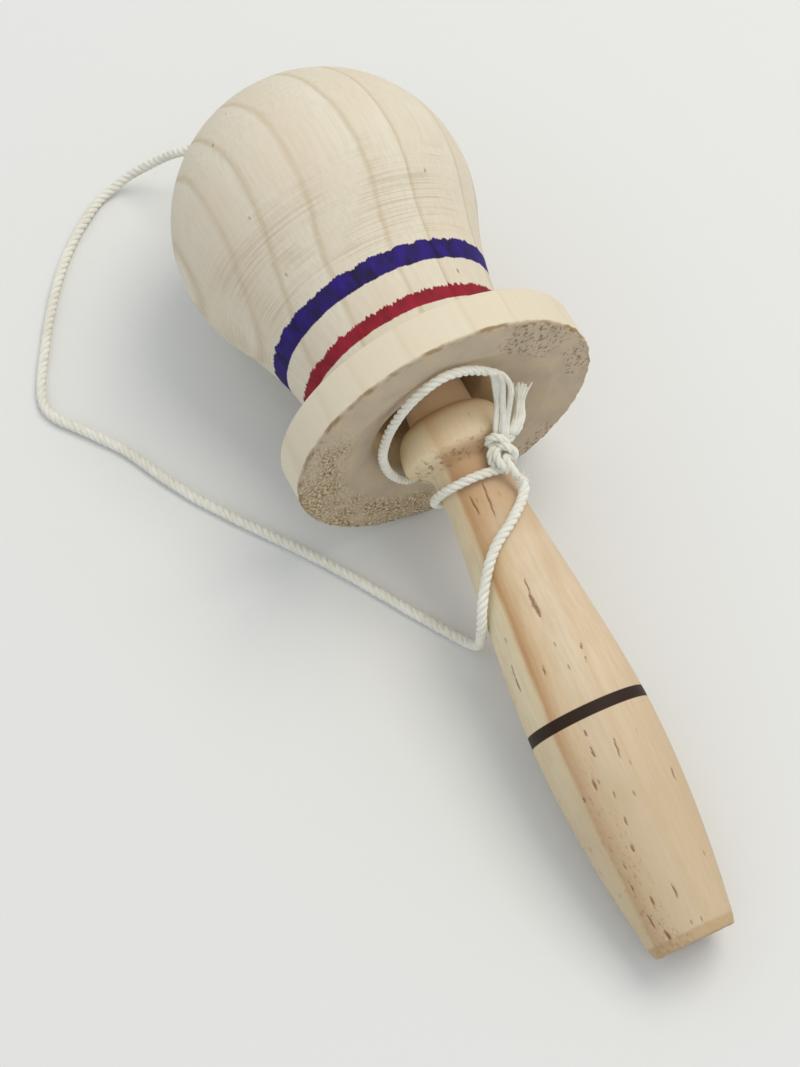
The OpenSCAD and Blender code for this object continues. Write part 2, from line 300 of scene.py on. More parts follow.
turns = np.linspace(0, winding_to, 300)
winding = np.array([winding_point(t) for t in turns])
winding_points, winding_at = even_steps(winding, 0.35)
winding_run = np.concatenate([[0], np.cumsum(np.linalg.norm(np.diff(winding, axis=0), axis=1))])
turns_at = np.interp(winding_at, winding_run, turns)
unlaid = smooth((turns_at - UNLAID_FROM) / 0.03) * smooth((UNLAID_TO - turns_at) / 0.05)
fan = 0.5 + 0.5 * smooth((turns_at - 1.02) / 0.07)
winding_tubes = []
for k, (points, radii, sides) in enumerate(wind_strands(winding_points, winding_at, LOOP_THICK, 0.6)):
    beside = (k - 1) * STRANDS_APART * fan + 0.25 * np.sin(winding_at / 2.3 + 2 * k)
    flat = winding_points + beside[:, None] * sideways + (0.35 * (k == 1)) * eye_side
    winding_tubes.append((points + unlaid[:, None] * (flat - points), radii * (1 + 0.06 * unlaid), sides))
loose = np.flatnonzero(unlaid > 0.03)
loose_points, loose_share = winding_points[loose], unlaid[loose]
for k in range(LOOSE_YARNS):
    place = (k - (LOOSE_YARNS - 1) / 2) * YARNS_APART
    beside = place * fan[loose] * loose_share + 0.3 * np.sin(winding_at[loose] / 3 + 1.7 * k)
    lifted = (0.5 - 0.25 * (k % 2)) * loose_share[:, None] * eye_side
    winding_tubes.append((loose_points + beside[:, None] * sideways + lifted, 0.1 + 0.3 * loose_share, 7))
tie_winding = sweep_tubes("cotton_tie_winding", winding_tubes)
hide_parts("tie_winding")
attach(tie_winding, "tie")

# %% [markdown]
# ## The knots
#
# The knot on the neck has three passes of the cord. One comes down from the loop and leaves
# for the tight turn, one comes from the tail and wraps round it, and one leaves as the long run.
# Each is a route of a few points, seen from the front: to the right, up and outwards.
# The stopper knot in the bore is a plain overhand knot, which is an open trefoil.

# %% Tie knot and stopper knot
KNOT_WIDE, KNOT_TALL, KNOT_ASIDE, KNOT_UP, KNOT_THICK = 0.87, 0.94, -0.2, 0.4, 0.8
TUFT_HAIRS, HAIR_R = 16, 0.2
knot_at = on_handle(knot_mid, KNOT_AT, knot_out)
upwards = np.cross(eye_side, sideways)
from_loop = [(-0.2, 6.2, -0.3), (-0.2, 4.6, -0.2), (-0.9, 3, -0.3), (-2.3, 1.2, 0.6), (-2.9, -0.8, 0.9),
             (-2.3, -2.5, 0.3), (-1.2, -3.5, -0.7), (-2.2, -4.2, -1.1), (-3.4, -4.4, -1.2)]
from_tail = [(2.9, 5.2, -0.3), (2, 3.5, -0.6), (0.4, 2.3, -1.4), (-2, 1.8, -1.2), (-3.5, 2.3, 0), (-3.1, 3.4, 1.2),
             (-1.6, 3.8, 1.9), (0.2, 3.1, 1.7), (1.1, 2.2, 0.4), (0.2, 1.2, -0.5), (-1.3, 0.7, 1.2), (-1.4, -1, 2),
             (-0.4, -2.7, 1.8), (0.8, -3.7, 0.6), (1.6, -4.2, -0.7)]
to_run = [(-1.2, 2, 0.4), (0.4, 1.7, 1.5), (2, 1.1, 1.6), (3.1, 0.4, 0.8), (3.1, -0.6, -0.3), (1.7, -0.6, 0.1),
          (0.9, -1.1, 0.9), (1.6, -2.4, 1.2), (2.6, -3.7, 0.6), (3.8, -5.2, -0.3), (5.2, -6.2, -0.8)]

knot_tubes = []
for one_pass, phase in ((from_loop, 0.2), (from_tail, 1.4), (to_run, 2.1)):
    places = [knot_at + (KNOT_WIDE * u + KNOT_ASIDE) * sideways + (KNOT_TALL * v + KNOT_UP) * upwards + w * eye_side
              for u, v, w in one_pass]
    knot_points, pass_at = even_steps(smooth_curve(places, 12), 0.3)
    knot_tubes += wind_strands(knot_points, pass_at, KNOT_THICK, phase)
for k in range(TUFT_HAIRS):
    start = knot_at + 4.3 * sideways - 5.4 * upwards - 0.6 * eye_side + rng.normal(0, 0.45, 3)
    lean = sideways * rng.uniform(-0.4, 1.3) + upwards * rng.uniform(-0.2, 1.4) + eye_side * rng.uniform(-0.2, 0.9)
    t = np.linspace(0, 1, 7)[:, None]
    hair = start + 1.6 * t * lean + 0.5 * t ** 2 * rng.normal(0, 1, 3)
    knot_tubes.append((hair, HAIR_R * (1 - 0.75 * t[:, 0] ** 2), 5))
tie_knot = sweep_tubes("cotton_tie_knot", knot_tubes)

t = np.linspace(0.25, 2 * math.pi + 0.1, 160)
trefoil = np.stack([np.sin(t) + 2 * np.sin(2 * t), np.cos(t) - 2 * np.cos(2 * t), -1.7 * np.sin(3 * t)], 1)
stopper_points, stopper_at = even_steps(trefoil @ np.array((ACROSS, barrel_up, barrel_axis))
                                        + in_barrel(stopper_along, 0, 0), 0.35)
stopper_knot = sweep_tubes("cotton_stopper_knot", wind_strands(stopper_points, stopper_at, 1.0, 0.9))
for piece, node, body in ((tie_knot, "tie_knot", "tie"), (stopper_knot, "stopper_knot", "barrel")):
    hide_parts(node)
    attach(piece, body)

# %% [markdown]
# ## The frayed tail
#
# The short end of the cord leaves the knot and leans on the flange. It is unlaid all the way,
# so it is a flat bundle of yarns that lie side by side and fan out at the cut end.

# %% Cord tail
YARNS, YARN_R = 26, 0.3
tail_route = [knot_at + 2.3 * sideways + 4.6 * upwards - 0.2 * eye_side, (-2.8, 12, 44.6), (-4.8, 14, 45.6),
              (-7.2, 15.3, 46.7), (-9.4, 16.7, 47.9), (-10.9, 18.2, 49.1)]
tail_points, tail_at = even_steps(smooth_curve(tail_route, 10), 0.35)
tail_share = tail_at / tail_at[-1]
half_width = 0.85 + 0.25 * np.sin(5 * tail_share) + 1.5 * smooth((tail_share - 0.62) / 0.38)
tail_tubes = []
for k in range(YARNS):
    place = 2 * (k + 0.5) / YARNS - 1 + rng.normal(0, 0.1)
    cut = int(len(tail_points) * rng.uniform(0.88, 1.0))
    wavy = 0.14 * np.sin(tail_at / rng.uniform(1.2, 2.4) + rng.uniform(0, 6))
    depth = (0.35 * (1 - place ** 2) + rng.uniform(-0.3, 0.4)) * (1 - 0.5 * tail_share)
    yarn = (tail_points + (place * half_width + wavy)[:, None] * sideways + depth[:, None] * eye_side)[:cut]
    yarn[:, 0] = np.maximum(yarn[:, 0], mouth[0] + 0.5)
    tail_tubes.append((yarn, YARN_R * (1 - 0.35 * np.linspace(0, 1, cut) ** 4), 6))
cord_tail = sweep_tubes("cotton_cord_tail", tail_tubes)
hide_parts("cord_tail")
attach(cord_tail, "tie")

# %% [markdown]
# ## Turning
#
# Both wooden pieces came off a lathe. They could be lofted from circles, but spinning one
# outline round its axis is what the lathe did, and it keeps every edge truly round. A plane
# is merged to one point, the point is extruded along the outline, and the chain is spun.

# %% Helpers for turning


def hermite(t, r0, m0, r1, m1, length):
    return ((2 * t ** 3 - 3 * t ** 2 + 1) * r0 + (3 * t ** 2 - 2 * t ** 3) * r1
            + length * (m0 * (t ** 3 - 2 * t ** 2 + t) + m1 * (t ** 3 - t ** 2)))


def straight_to(outline, end, count):
    start = outline[-1]
    outline += [(start[0] + (end[0] - start[0]) * i / count, start[1] + (end[1] - start[1]) * i / count)
                for i in range(1, count + 1)]


def round_to(outline, corner, end, count):
    start = outline[-1]
    for i in range(1, count + 1):
        t = i / count
        outline.append(tuple((1 - t) ** 2 * start[k] + 2 * t * (1 - t) * corner[k] + t * t * end[k] for k in (0, 1)))


def spin_outline(name, outline, steps):
    bpy.ops.object.select_all(action="DESELECT")
    bpy.ops.mesh.primitive_plane_add(size=MM)
    piece = bpy.context.object
    piece.name = piece.data.name = name
    bpy.ops.object.mode_set(mode="EDIT")
    bpy.ops.mesh.merge(type="CENTER")
    bpy.ops.transform.translate(value=(outline[0][0] * MM, 0, outline[0][1] * MM))
    for (x0, r0), (x1, r1) in zip(outline, outline[1:]):
        bpy.ops.mesh.extrude_region_move(TRANSFORM_OT_translate={"value": ((x1 - x0) * MM, 0, (r1 - r0) * MM)})
    bpy.ops.mesh.select_all(action="SELECT")
    bpy.ops.mesh.spin(steps=steps, angle=2 * math.pi, center=(0, 0, 0), axis=(1, 0, 0))
    bpy.ops.mesh.select_all(action="SELECT")
    bpy.ops.mesh.remove_doubles(threshold=0.002 * MM)
    bpy.ops.mesh.normals_make_consistent(inside=False)
    bpy.ops.object.mode_set(mode="OBJECT")
    print(name, len(outline), "outline points,", len(piece.data.polygons), "faces")
    return piece


def rough_up(piece, group, weights, grain, depth, texture="STUCCI"):
    vertex_group = piece.vertex_groups.new(name=group)
    for index, weight in enumerate(weights):
        if weight > 0.001:
            vertex_group.add([index], float(weight), "REPLACE")
    noise = bpy.data.textures.new(group, texture)
    noise.noise_scale = grain * MM
    push = piece.modifiers.new(group, "DISPLACE")
    push.texture, push.texture_coords, push.vertex_group = noise, "LOCAL", group
    push.strength, push.mid_level = depth * MM, 0.5
    bpy.context.view_layer.objects.active = piece
    bpy.ops.object.modifier_apply(modifier=push.name)


def spots_on(piece):
    spots = np.array([v.co for v in piece.data.vertices]) / MM
    return spots, np.hypot(spots[:, 1], spots[:, 2]), np.degrees(np.arctan2(spots[:, 2], spots[:, 1]))


def near_angle(around, middle, half, soft):
    return smooth((half - np.abs((around - middle + 180) % 360 - 180)) / soft)


def keep_as(piece, name, values):
    mark = piece.data.attributes.new(name, "FLOAT", "POINT")
    mark.data.foreach_set("value", values.astype(np.float32))


def put_in_place(piece, where, rotation):
    piece.matrix_world = Matrix.Translation(Vector(where) * MM) @ Euler(rotation).to_matrix().to_4x4()
    bpy.ops.object.select_all(action="DESELECT")
    piece.select_set(True)
    bpy.context.view_layer.objects.active = piece
    bpy.ops.object.transform_apply(location=True, rotation=True, scale=True)
    bpy.ops.object.shade_smooth_by_angle(angle=math.radians(40))


# %% [markdown]
# ## The barrel
#
# One closed outline runs up the narrow throat of the bore, out along the sloping seat where
# the bead rests, over the dished mouth and the flange, down the waist, round the bulb and
# back through the cord hole. The end grain of the flange tore under the chisel, so patches
# of its face are roughened after the spin. They are placed by their angle round the barrel.

# %% Barrel
DISH_R, DISH_D, SEAT_R, THROAT_R, THROAT_AT = 27, 2.6, 17.8, 13.7, 8.6
dome = BULB_X + BULB_R
bulb_join = BULB_X + BULB_R * math.cos(BULB_FROM)
flare_len = bulb_join - FLARE_FROM
barrel_outline = [(-BORE_DEPTH, CORD_HOLE_R)]
straight_to(barrel_outline, (-BORE_DEPTH, THROAT_R - 1), 4)
round_to(barrel_outline, (-BORE_DEPTH, THROAT_R), (1 - BORE_DEPTH, THROAT_R), 4)
straight_to(barrel_outline, (-THROAT_AT - 1, THROAT_R), 18)
round_to(barrel_outline, (-THROAT_AT, THROAT_R), (-THROAT_AT + 0.9, THROAT_R + 0.6), 5)
straight_to(barrel_outline, (-DISH_D - 0.8, SEAT_R - 0.55), 8)
round_to(barrel_outline, (-DISH_D, SEAT_R), (-DISH_D + 0.4, SEAT_R + 1.4), 5)
round_to(barrel_outline, (-0.9, DISH_R - 3.5), (0, DISH_R), 14)
straight_to(barrel_outline, (0, FLANGE_R - RIM_EDGE), 30)
round_to(barrel_outline, (0, FLANGE_R), (-RIM_EDGE, FLANGE_R), 6)
straight_to(barrel_outline, (RIM_EDGE - RIM_T, FLANGE_R), 14)
round_to(barrel_outline, (-RIM_T, FLANGE_R), (-RIM_T, FLANGE_R - RIM_EDGE), 5)
straight_to(barrel_outline, (-RIM_T - 0.8, WAIST_R + 2), 10)
round_to(barrel_outline, (-RIM_T - 1, WAIST_R), (-RIM_T - 2.3, WAIST_R), 7)
straight_to(barrel_outline, (-FLARE_FROM, WAIST_R), 6)
for i in range(1, 35):
    t = i / 34
    barrel_outline.append((-FLARE_FROM - t * flare_len, hermite(
        t, WAIST_R, 0, BULB_R * math.sin(BULB_FROM), -1 / math.tan(BULB_FROM), flare_len)))
hole_angle = math.asin((CORD_HOLE_R + 1.6) / BULB_R)
for i in range(1, 61):
    a = BULB_FROM + (hole_angle - BULB_FROM) * i / 60
    barrel_outline.append((-BULB_X - BULB_R * math.cos(a), BULB_R * math.sin(a)))
round_to(barrel_outline, (-dome + 0.1, CORD_HOLE_R), (-dome + 2, CORD_HOLE_R), 5)
straight_to(barrel_outline, barrel_outline[0], 6)
barrel = spin_outline("turned_barrel", barrel_outline, 400)

spots, out, around = spots_on(barrel)
on_face = (spots[:, 0] > -0.6) * smooth((out - 24) / 2) * smooth((37.4 - out) / 0.5)
torn = on_face * near_angle(around, 208, 70, 22) * smooth((out - 24) / 5)
pitted = on_face * (near_angle(around, 47, 22, 9) * smooth((out - 26) / 2) + near_angle(around, 10, 14, 6)
                    * smooth((out - 30) / 2) + near_angle(around, -48, 16, 7) * smooth((out - 31) / 2))
chipped = smooth((out - 36.4) / 0.4) * smooth((spots[:, 0] + 1.6) / 0.8)
rough_up(barrel, "torn_grain", np.maximum(torn, 0.45 * pitted), 0.9, 0.4)
rough_up(barrel, "chipped_edge", chipped, 2, 0.9, "CLOUDS")
keep_as(barrel, "torn", torn)
keep_as(barrel, "pitted", pitted)
put_in_place(barrel, mouth, (0, barrel_tip, 0))
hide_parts("barrel")
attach(barrel, "barrel")

# %% [markdown]
# ## The handle
#
# The spike, the bead, the neck and the long swelling grip are one outline too. Pine splits
# and tears as it is turned, so short dark gouges lie along the grip. Each is a line from one
# place to another, along the handle and round it in degrees, with its half width. It is cut
# in, and kept as a mark for the material.

# %% Handle
handle_outline = [(-SPIKE_LEN + SPIKE_TIP_R * (1 - math.cos(a)), SPIKE_TIP_R * math.sin(a))
                  for a in np.radians(np.arange(0, 91, 10))]
straight_to(handle_outline, (-BEAD_LEN / 2, SPIKE_R), 18)
for a in np.radians(np.arange(-84, 1, 6)):
    x = BEAD_FULL_AT + (BEAD_FULL_AT + BEAD_LEN / 2) * math.sin(a)
    handle_outline.append((x, bead_radius(x)))
for i in range(1, 15):
    x = BEAD_FULL_AT + (BEAD_FALL - BEAD_FULL_AT) * i / 14
    handle_outline.append((x, bead_radius(x)))
straight_to(handle_outline, (NECK_TO, NECK_R), 16)
for i in range(1, 101):
    t = i / 100
    handle_outline.append((NECK_TO + t * (BELLY_X - NECK_TO),
                           hermite(t, NECK_R, 0.1, BELLY_R, 0.05, BELLY_X - NECK_TO)))
for i in range(1, 96):
    t = i / 95
    handle_outline.append((BELLY_X + t * (butt_reach - BELLY_X),
                           hermite(t, BELLY_R, 0.03, BUTT_R, -0.17, butt_reach - BELLY_X)))
straight_to(handle_outline, (BUTT_X - 0.3, BUTT_R - BUTT_WORN + 0.1), 7)
round_to(handle_outline, (BUTT_X, BUTT_R - BUTT_WORN), (BUTT_X, BUTT_R - BUTT_WORN - 0.4), 3)
straight_to(handle_outline, (BUTT_X, 0), 12)
handle = spin_outline("turned_handle", handle_outline, 300)

spots, out, around = spots_on(handle)
GOUGE_DEPTH = 0.18
GOUGES = ((14.8, 92, 23.5, 97, 0.5), (16.5, 119, 21.3, 116, 0.45), (39.2, 99, 44.5, 101, 0.4),
          (43.4, 102, 48.7, 101, 1.1), (55, 156, 58, 157, 0.5), (58, 157, 61.5, 157, 0.6), (58, 77, 59.2, 78, 0.8),
          (60.8, 79, 62.4, 80, 0.4), (59, 120, 61.3, 122, 0.5), (75.8, 110, 77.4, 111, 0.6),
          (79.8, 112, 82.3, 112, 0.6), (80.2, 90, 85, 92, 0.5), (86, 123, 88.7, 124, 0.7), (88.7, 140, 89.8, 140, 0.7),
          (90.5, 111, 92.4, 112, 0.45), (90.6, 45, 93.4, 46, 0.6), (96.4, 112, 98.3, 113, 0.5),
          (102.4, 118, 104.1, 119, 0.8), (105.4, 135, 106.6, 135, 0.6), (110.2, 140, 111.4, 140, 0.6),
          (114.2, 126, 116.2, 127, 0.7), (113.6, 99, 117, 99, 0.45), (117.5, 141, 120.6, 141, 0.6),
          (122, 131, 124, 131, 0.9))
gouged = np.zeros(len(spots))
for x0, a0, x1, a1, width in GOUGES:
    t = np.clip((spots[:, 0] - x0) / (x1 - x0), 0, 1)
    off = np.radians((around - (a0 + t * (a1 - a0)) + 180) % 360 - 180) * out
    far = np.hypot(spots[:, 0] - (x0 + t * (x1 - x0)), off + 0.06 * np.sin(spots[:, 0] * 2.3))
    gouged = np.maximum(gouged, np.clip(1.1 - far / (width * (0.95 - 0.5 * (2 * t - 1) ** 2)), 0, 1) * (out > 7))
spots[:, 1:] *= (1 - GOUGE_DEPTH * smooth(gouged) / np.maximum(out, 1))[:, None]
handle.data.vertices.foreach_set("co", (spots * MM).astype(np.float32).ravel())
split_edge = smooth((spots[:, 0] - 121.5) / 3) * smooth((out - 6) / 2)
split_edge *= 0.35 + 0.65 * near_angle(around, 165, 60, 25)
rough_up(handle, "split_edge", split_edge, 0.9, 0.8)
keep_as(handle, "gouged", gouged)
put_in_place(handle, bead_at, (0, droop, -ASKEW))
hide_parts("handle")
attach(handle, "handle")

# %% [markdown]
# ## Node helper
#
# Every material below is built from the same small function, which adds one node with its
# settings and its inputs. Colours are written as sRGB hex and turned to linear in one place.

# %% Helpers for materials


def colour(hex_value):
    channels = [int(hex_value[i:i + 2], 16) / 255 for i in (1, 3, 5)]
    return tuple(c / 12.92 if c <= 0.04045 else ((c + 0.055) / 1.055) ** 2.4 for c in channels) + (1.0,)


def add_node(tree, kind, inputs=(), stops=(), **settings):
    node = tree.nodes.new("ShaderNode" + kind)
    for name, value in settings.items():
        setattr(node, name, value)
    for place, value in dict(inputs).items():
        if isinstance(value, bpy.types.NodeSocket):
            tree.links.new(value, node.inputs[place])
        else:
            node.inputs[place].default_value = value
    for i, (position, value) in enumerate(stops):
        ends = node.color_ramp.elements
        element = ends[0] if i == 0 else ends[-1] if i == len(stops) - 1 else ends.new(position)
        element.position, element.color = position, value
    return node.outputs


def new_material(name, piece):
    material = bpy.data.materials.new(name)
    material.use_nodes = True
    material.node_tree.nodes.clear()
    piece.data.materials.clear()
    piece.data.materials.append(material)
    return material.node_tree


# %% [markdown]
# ## Pine of the barrel
#
# Pale pine, turned and sanded but not varnished, so it is matt. Its growth rings are about
# 10 mm wide and run along the barrel. Each ends in a thin darker line that is sharp on one
# side and fades on the other. The lathe left fine scratches round the flare. Every pattern
# is a noise that is drawn out along the wood or across it, by its steps per millimetre.

# %% Barrel wood
tree = new_material("sanded_pale_pine", barrel)
place = add_node(tree, "TexCoord")["Object"]
mm = add_node(tree, "Mapping", {"Vector": place, "Location": Vector(mouth) * MM, "Rotation": (0, barrel_tip, 0),
                                "Scale": (MM, MM, MM)}, vector_type="TEXTURE")[0]
axes = add_node(tree, "SeparateXYZ", {0: mm})
along, across, up = axes["X"], axes["Y"], axes["Z"]
radius = add_node(tree, "VectorMath", {0: add_node(tree, "CombineXYZ", {"Y": across, "Z": up})[0]},
                  operation="LENGTH")["Value"]

grain = {}
for pattern, lengthwise, crosswise, settings in (
        ("wander", 0.05, 0.09, {"Detail": 5, "Roughness": 0.6}), ("fibre", 0.06, 1.4, {"Detail": 3}),
        ("blotch", 0.03, 0.06, {"Detail": 3}), ("lathe", 3.4, 0.03, {"Detail": 2}),
        ("lumps", 0.15, 0.34, {"Detail": 4, "Roughness": 0.7}),
        ("bristles", 0.06, 1.1, {"Detail": 3, "Roughness": 0.7})):
    drawn = add_node(tree, "VectorMath", {0: mm, 1: (lengthwise, crosswise, crosswise)}, operation="MULTIPLY")[0]
    grain[pattern] = add_node(tree, "TexNoise", {"Vector": drawn, "Scale": 1, **settings})[0]

RING_EDGES = (-37, -28, -20.5, -10.6, 3.7, 15, 37, 50, 64, 78)
RING_FROM, RING_TO = -45, 90
lift = add_node(tree, "Math", {0: up, 1: 30}, operation="SUBTRACT")[0]
spread = add_node(tree, "Math", {0: lift, 1: -0.012, 2: 1}, operation="MULTIPLY_ADD")[0]
spread = add_node(tree, "Math", {0: across, 1: spread}, operation="MULTIPLY")[0]
ring_mm = add_node(tree, "Math", {0: lift, 1: -0.4, 2: spread}, operation="MULTIPLY_ADD")[0]
ring_mm = add_node(tree, "Math", {0: ring_mm, 1: 1.2}, operation="SUBTRACT")[0]
ring_mm = add_node(tree, "Math", {0: grain["wander"], 1: 2.4, 2: ring_mm}, operation="MULTIPLY_ADD")[0]
ring = add_node(tree, "MapRange", {0: ring_mm, 1: RING_FROM, 2: RING_TO, 3: 0, 4: 1})[0]
EARLY, PALE, LATE = colour("#DAD1BD"), colour("#DED7C5"), colour("#C9BCA2")
stops = [(0.0, EARLY)]
for edge in RING_EDGES:
    at = (edge - RING_FROM) / (RING_TO - RING_FROM)
    stops += [(at - 0.003, PALE), (at + 0.001, LATE), (at + 0.01, EARLY)]
wood = add_node(tree, "ValToRGB", {0: ring}, stops=stops + [(1.0, EARLY)])[0]

fibre_tone = add_node(tree, "ValToRGB", {0: grain["fibre"]}, stops=((0.35, colour("#E6DFD3")),
                                                                   (0.6, colour("#FFFFFF"))))[0]
wood = add_node(tree, "Mix", {0: 0.25, 6: wood, 7: fibre_tone}, data_type="RGBA", blend_type="MULTIPLY")[2]
blotch = add_node(tree, "MapRange", {0: grain["blotch"], 1: 0.45, 2: 0.7, 3: 0, 4: 0.5})[0]
patchy = add_node(tree, "TexNoise", {"Vector": mm, "Scale": 0.09, "Detail": 2})[0]
patchy = add_node(tree, "MapRange", {0: patchy, 1: 0.42, 2: 0.6, 3: 0.2, 4: 1})[0]
on_flare = add_node(tree, "MapRange", {0: along, 1: -64, 2: -46, 3: 0, 4: 1}, interpolation_type="SMOOTHSTEP")[0]
off_waist = add_node(tree, "MapRange", {0: along, 1: -32, 2: -36, 3: 0.1, 4: 1})[0]
scratch = add_node(tree, "MapRange", {0: grain["lathe"], 1: 0.47, 2: 0.6, 3: 0, 4: 1},
                   interpolation_type="SMOOTHSTEP")[0]
for limit in (on_flare, off_waist, patchy):
    scratch = add_node(tree, "Math", {0: scratch, 1: limit}, operation="MULTIPLY")[0]
scratch_tone = add_node(tree, "Math", {0: scratch, 1: 0.3}, operation="MULTIPLY")[0]
drawn = add_node(tree, "VectorMath", {0: mm, 1: (0.6, 1, 1)}, operation="MULTIPLY")[0]
speck = add_node(tree, "TexVoronoi", {"Vector": drawn, "Scale": 0.12})["Distance"]
speck = add_node(tree, "MapRange", {0: speck, 1: 0.06, 2: 0.03, 3: 0, 4: 0.6})[0]
for mask, tint in ((blotch, "#D9C8B2"), (scratch_tone, "#A48E6C"), (speck, "#8A6A48")):
    wood = add_node(tree, "Mix", {0: mask, 6: wood, 7: colour(tint)}, data_type="RGBA")[2]
print("barrel wood", len(tree.nodes), "nodes so far")

# %% [markdown]
# ## Bands and rim
#
# The two bands were stained with a brush as the barrel turned. The blue one bled on both
# sides, and the red one has bristle marks on the bulb's side. The rim is warmer than the
# rest, and the corner behind it is darkened with painted shade.

# %% Barrel bands and rim
tone = add_node(tree, "MapRange", {0: grain["lumps"], 1: 0.35, 2: 0.65, 3: 0, 4: 1})[0]
outside = add_node(tree, "MapRange", {0: radius, 1: 22, 2: 23, 3: 0, 4: 0.97})[0]
for start, width, edges, deep, light in (
        (BLUE_FROM, BLUE_W, (("lumps", 1.2), ("lumps", 3.2)), "#0E0134", "#25087A"),
        (RED_FROM, RED_W, (("lumps", 0.8), ("bristles", 3.2)), "#780822", "#98102F")):
    band = outside
    for (pattern, depth), at, soft in zip(edges, (-start, -start - width), (-0.25, 0.25)):
        ragged = add_node(tree, "Math", {0: grain[pattern], 1: 0.5}, operation="SUBTRACT")[0]
        ragged = add_node(tree, "Math", {0: ragged, 1: depth, 2: along}, operation="MULTIPLY_ADD")[0]
        side = add_node(tree, "MapRange", {0: ragged, 1: at, 2: at + soft, 3: 0, 4: 1})[0]
        band = add_node(tree, "Math", {0: band, 1: side}, operation="MULTIPLY")[0]
    stain = add_node(tree, "Mix", {0: tone, 6: colour(deep), 7: colour(light)}, data_type="RGBA")[2]
    wood = add_node(tree, "Mix", {0: band, 6: wood, 7: stain}, data_type="RGBA")[2]

rim = add_node(tree, "MapRange", {0: radius, 1: 36.8, 2: 37.2, 3: 0, 4: 0.6})[0]
not_behind = add_node(tree, "MapRange", {0: along, 1: -10.6, 2: -9.6, 3: 0, 4: 1})[0]
rim = add_node(tree, "Math", {0: rim, 1: not_behind}, operation="MULTIPLY")[0]
# painted shade: the concave corner behind the rim is darkened as its shadow line
corner = add_node(tree, "Math", {0: along, 1: 11.6}, operation="ADD")[0]
corner = add_node(tree, "Math", {0: corner}, operation="ABSOLUTE")[0]
corner = add_node(tree, "MapRange", {0: corner, 1: 0.7, 2: 0.2, 3: 0, 4: 0.5})[0]
for mask, tint in ((rim, "#DED3BA"), (corner, "#947C58")):
    wood = add_node(tree, "Mix", {0: mask, 6: wood, 7: colour(tint)}, data_type="RGBA")[2]
print("bands and rim", len(tree.nodes), "nodes so far")

# %% [markdown]
# ## End grain and bore
#
# The flange's face is grey end grain, smooth where it was cut well and crumbly where it tore,
# with small dark pits. The marks that were kept on the mesh say where. Its outer edge is a
# broken dark line. The bore has painted light: its wood is coloured warmer and lighter against its shade.

# %% Barrel end grain, bore and finish
mottle = add_node(tree, "TexNoise", {"Vector": mm, "Scale": 0.14, "Detail": 5})[0]
end_grain = add_node(tree, "ValToRGB", {0: mottle}, stops=((0.3, colour("#B8A993")), (0.5, colour("#C3B39C")),
                                                         (0.7, colour("#CBB99C"))))[0]
grit = add_node(tree, "TexNoise", {"Vector": mm, "Scale": 1.3, "Detail": 5, "Roughness": 0.7})[0]
crumb_tone = add_node(tree, "ValToRGB", {0: grit}, stops=(
    (0.36, colour("#6E573A")), (0.44, colour("#A89170")), (0.53, colour("#C8B595")), (0.62, colour("#F0E5CA"))))[0]
torn_here = add_node(tree, "Attribute", attribute_name="torn")["Fac"]
tears = add_node(tree, "TexNoise", {"Vector": mm, "Scale": 0.16, "Detail": 4, "Roughness": 0.6})[0]
tears = add_node(tree, "MapRange", {0: tears, 1: 0.38, 2: 0.55, 3: 0.25, 4: 1})[0]
torn_here = add_node(tree, "Math", {0: torn_here, 1: tears}, operation="MULTIPLY")[0]
end_grain = add_node(tree, "Mix", {0: torn_here, 6: end_grain, 7: crumb_tone}, data_type="RGBA")[2]
pits = add_node(tree, "TexNoise", {"Vector": mm, "Scale": 0.75, "Detail": 4, "Roughness": 0.7})[0]
pits = add_node(tree, "MapRange", {0: pits, 1: 0.52, 2: 0.6, 3: 0, 4: 0.8})[0]
pitted_here = add_node(tree, "Attribute", attribute_name="pitted")["Fac"]
pits = add_node(tree, "Math", {0: pits, 1: pitted_here}, operation="MULTIPLY")[0]
end_grain = add_node(tree, "Mix", {0: pits, 6: end_grain, 7: colour("#7A5E42")}, data_type="RGBA")[2]
face = add_node(tree, "MapRange", {0: along, 1: -0.8, 2: -0.3, 3: 0, 4: 1})[0]
in_dish = add_node(tree, "MapRange", {0: radius, 1: 28.5, 2: 27.5, 3: 0, 4: 1})[0]
not_waist = add_node(tree, "MapRange", {0: along, 1: -8, 2: -7, 3: 0, 4: 1})[0]
in_dish = add_node(tree, "Math", {0: in_dish, 1: not_waist}, operation="MULTIPLY")[0]
face = add_node(tree, "Math", {0: face, 1: in_dish}, operation="MAXIMUM")[0]
wood = add_node(tree, "Mix", {0: face, 6: wood, 7: end_grain}, data_type="RGBA")[2]
# painted light: the bore's wood is coloured lighter and warmer, to offset the shade inside it
in_bore = add_node(tree, "MapRange", {0: radius, 1: 18, 2: 15, 3: 0, 4: 1})[0]
not_dome = add_node(tree, "MapRange", {0: along, 1: -BORE_DEPTH - 1, 2: -BORE_DEPTH - 0.5, 3: 0, 4: 1})[0]
in_bore = add_node(tree, "Math", {0: in_bore, 1: not_dome}, operation="MULTIPLY")[0]
bore_painted_light = add_node(tree, "ValToRGB", {0: grain["fibre"]}, stops=((0.3, colour("#E0C49A")),
                                                                  (0.7, colour("#EBD5AE"))))[0]
wood = add_node(tree, "Mix", {0: in_bore, 6: wood, 7: bore_painted_light}, data_type="RGBA")[2]

